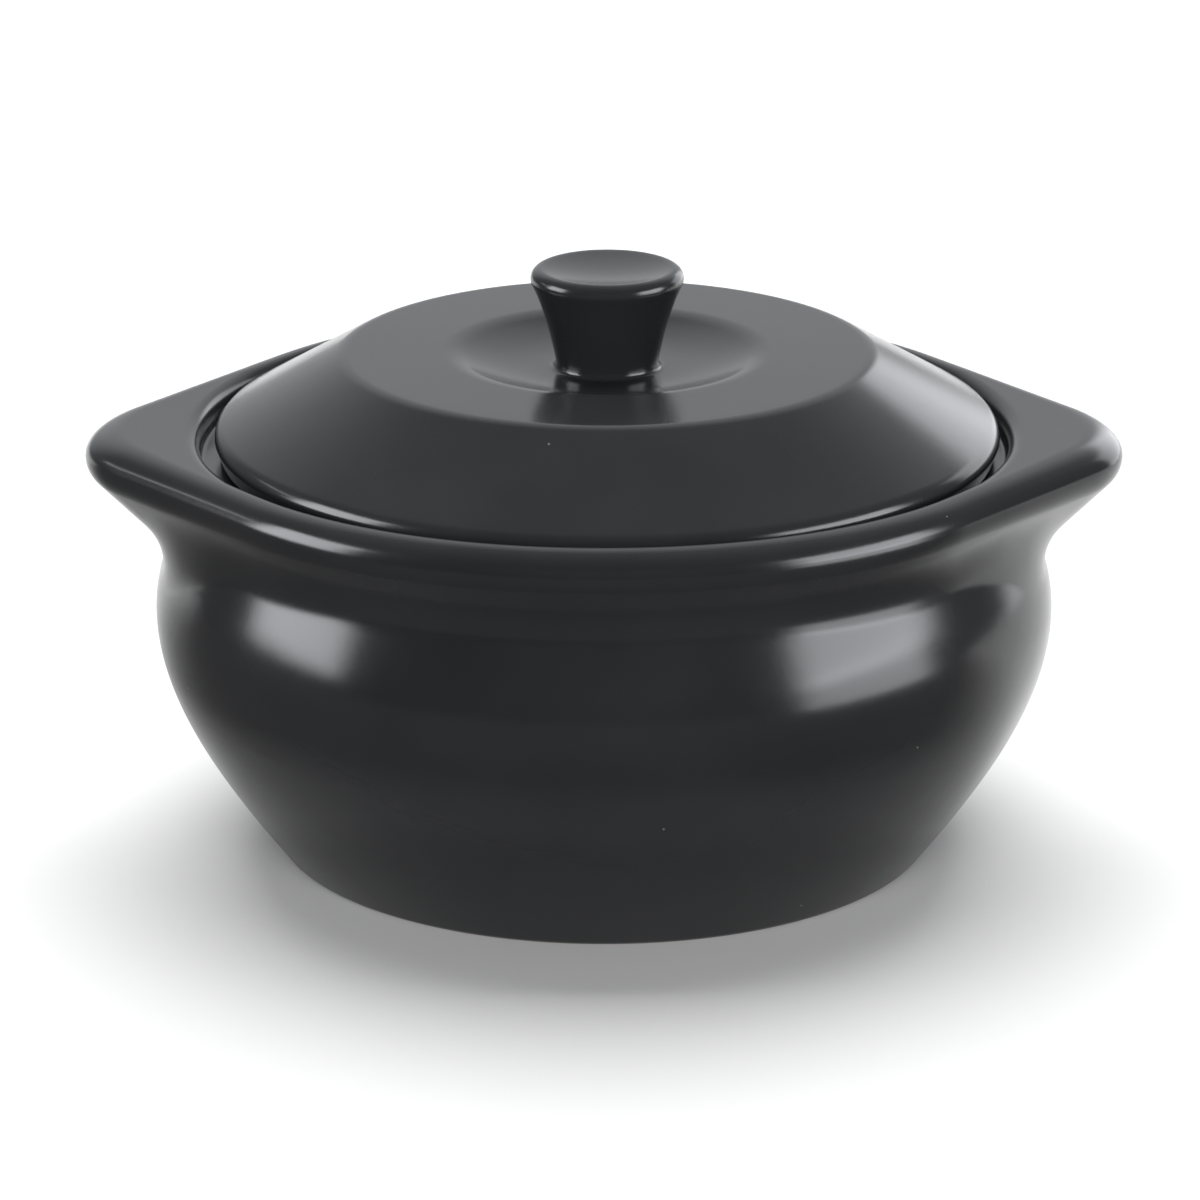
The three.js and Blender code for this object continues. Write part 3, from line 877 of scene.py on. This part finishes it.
def add_painted_shade_card(stage):
    """Painted shade: a dark card on the floor that only the dish sees, denser away from it and clear
    behind it.

    Its density is a soft step over the distance from the axis, times the greater of two soft steps
    along directions. From below it is clear, so that the floor stays as light as it is.
    """
    mesh = bpy.data.meshes.new("painted_shade_card")
    corners = np.array([(-1, -1, 0), (1, -1, 0), (1, 1, 0), (-1, 1, 0)]) * stage.floor_radius
    mesh.from_pydata(corners + (0.0, 0.0, CARD_RISE), [], [(0, 1, 2, 3)])
    card = bpy.data.objects.new("painted_shade_card", mesh)
    material, output = new_material("painted_shade_card")
    tree = material.node_tree
    place = add_node(tree, "ShaderNodeTexCoord", {}).outputs["Object"]
    reach = add_node(tree, "ShaderNodeVectorMath", {"Vector": place}, operation="LENGTH")
    outward = soft_step(tree, reach.outputs["Value"], CARD_INNER, CARD_OUTER, CARD_NEAR_DENSITY)
    forward = [
        soft_step(tree, along(tree, place, way), clear_end, dense_end)
        for way, clear_end, dense_end in CARD_WAYS
    ]
    denser = calculate(tree, "MAXIMUM", *forward)
    density = calculate(tree, "MULTIPLY", outward, denser)
    underside = add_node(tree, "ShaderNodeNewGeometry", {}).outputs["Backfacing"]
    seen = remap(tree, underside, 0.0, 1.0, density, 0.0)
    clear = add_node(tree, "ShaderNodeBsdfTransparent", {}).outputs["BSDF"]
    dark = add_node(tree, "ShaderNodeBsdfDiffuse", {"Color": SHADE_CARD_COLOUR}).outputs["BSDF"]
    shader = add_node(tree, "ShaderNodeMixShader", {"Fac": seen, 1: clear, 2: dark})
    tree.links.new(shader.outputs["Shader"], output.inputs["Surface"])
    mesh.materials.append(material)
    # Painted shade: hidden from the camera and casting no shadow, the card only darkens what the dish
    # mirrors and the light it gets from the floor
    card.visible_camera = False
    card.visible_shadow = False
    bpy.context.scene.collection.objects.link(card)


def add_floor(stage):
    """Round floor under the dish: points on a circle, joined in one face."""
    angle = angles_round(FLOOR_COLUMNS)
    circle = np.stack([np.cos(angle), np.sin(angle), np.zeros(FLOOR_COLUMNS)], axis=-1)
    mesh = bpy.data.meshes.new("floor")
    mesh.from_pydata(circle * stage.floor_radius, [], [range(FLOOR_COLUMNS)])
    floor = bpy.data.objects.new("floor", mesh)
    material, output = new_material("pale_floor")
    tree = material.node_tree
    shader = add_node(tree, "ShaderNodeBsdfDiffuse", {"Color": (*stage.floor_colour, 1.0)})
    tree.links.new(shader.outputs["BSDF"], output.inputs["Surface"])
    mesh.materials.append(material)
    bpy.context.scene.collection.objects.link(floor)


# Operators


class CASSEROLE_OT_dish(bpy.types.Operator):
    """Build the dish: bowl, rolled rim, gallery and lugs in one glazed surface"""

    bl_idname = "casserole.dish"
    bl_label = "Build Dish"
    bl_options = {"REGISTER", "UNDO"}

    def execute(self, context):
        scene = context.scene
        angle = angles_round(DISH_COLUMNS)
        outline = dish_outline(scene.casserole_dish, scene.casserole_lid, angle)
        piece = closed_surface("dish_glazed", round_the_axis(outline, angle, 0.0))
        glaze = glazed_stoneware("dish_glaze", scene.casserole_finish, 0.0)
        dress(piece, "dish", "dish", glaze)
        return {"FINISHED"}


class CASSEROLE_OT_lid(bpy.types.Operator):
    """Build the lid: brim, sloping side, raised ring, recess and knob in one glazed surface"""

    bl_idname = "casserole.lid"
    bl_label = "Build Lid"
    bl_options = {"REGISTER", "UNDO"}

    def execute(self, context):
        scene = context.scene
        angle = angles_round(LID_COLUMNS)
        lid = scene.casserole_lid
        grid = round_the_axis(lid_outline(lid, angle), angle, lid.offset)
        piece = closed_surface("lid_glazed", grid)
        glaze = glazed_stoneware("lid_glaze", scene.casserole_finish, lid.seat_height)
        dress(piece, "lid", "lid", glaze)
        return {"FINISHED"}


class CASSEROLE_OT_stage(bpy.types.Operator):
    """Set the floor, lights and camera of a plain studio"""

    bl_idname = "casserole.stage"
    bl_label = "Set Stage"
    bl_options = {"REGISTER", "UNDO"}

    def execute(self, context):
        scene = context.scene
        stage = scene.casserole_stage
        scene.view_settings.view_transform = "Standard"

        camera = bpy.data.cameras.new("camera")
        camera.sensor_width = SENSOR_WIDTH
        camera.lens = stage.camera_focus / PHOTO_PIXELS * SENSOR_WIDTH
        camera.shift_x = 0.5 - stage.camera_column / PHOTO_PIXELS
        camera_object = bpy.data.objects.new("camera", camera)
        scene.collection.objects.link(camera_object)
        back = Vector((0.0, -math.cos(stage.camera_elevation), math.sin(stage.camera_elevation)))
        camera_object.location = Vector((0.0, 0.0, stage.camera_aim)) + back * stage.camera_distance
        camera_object.rotation_euler = (-back).to_track_quat("-Z", "Y").to_euler()
        scene.camera = camera_object

        scene.world = studio_room(stage)
        for softbox in SOFTBOXES:
            add_softbox(*softbox)
        for name, centre, width, height, brightness in FILL_LAMPS:
            add_fill_lamp(name, centre, width, height, brightness * stage.fill_light)
        add_floor(stage)
        add_painted_shade_card(stage)
        return {"FINISHED"}


class CASSEROLE_PT_panel(bpy.types.Panel):
    """Lists the pieces and their sizes in the sidebar"""

    bl_idname = "CASSEROLE_PT_panel"
    bl_label = "Mini Casserole Dish"
    bl_space_type = "VIEW_3D"
    bl_region_type = "UI"
    bl_category = "Casserole"

    def draw(self, context):
        layout = self.layout
        for operator in (CASSEROLE_OT_dish, CASSEROLE_OT_lid, CASSEROLE_OT_stage):
            layout.operator(operator.bl_idname)
        for group_name, group in PROPERTY_GROUPS.items():
            box = layout.box()
            for value_name in group.__annotations__:
                box.prop(getattr(context.scene, group_name), value_name)


PROPERTY_GROUPS = {
    "casserole_dish": CasseroleDishSizes,
    "casserole_lid": CasseroleLidSizes,
    "casserole_finish": CasseroleFinish,
    "casserole_stage": CasseroleStage,
}
CLASSES = (
    *PROPERTY_GROUPS.values(),
    CASSEROLE_OT_dish,
    CASSEROLE_OT_lid,
    CASSEROLE_OT_stage,
    CASSEROLE_PT_panel,
)


def register():
    """Registers the classes and hangs each group of properties on the scene."""
    for item in CLASSES:
        bpy.utils.register_class(item)
    for group_name, group in PROPERTY_GROUPS.items():
        setattr(bpy.types.Scene, group_name, PointerProperty(type=group))


def unregister():
    """Takes the properties and classes away again."""
    for group_name in PROPERTY_GROUPS:
        delattr(bpy.types.Scene, group_name)
    for item in reversed(CLASSES):
        bpy.utils.unregister_class(item)


def main():
    """Registers the classes, then builds the stage, the dish and the lid."""
    register()
    bpy.ops.casserole.stage()
    bpy.ops.casserole.dish()
    bpy.ops.casserole.lid()


if __name__ == "__main__":
    main()
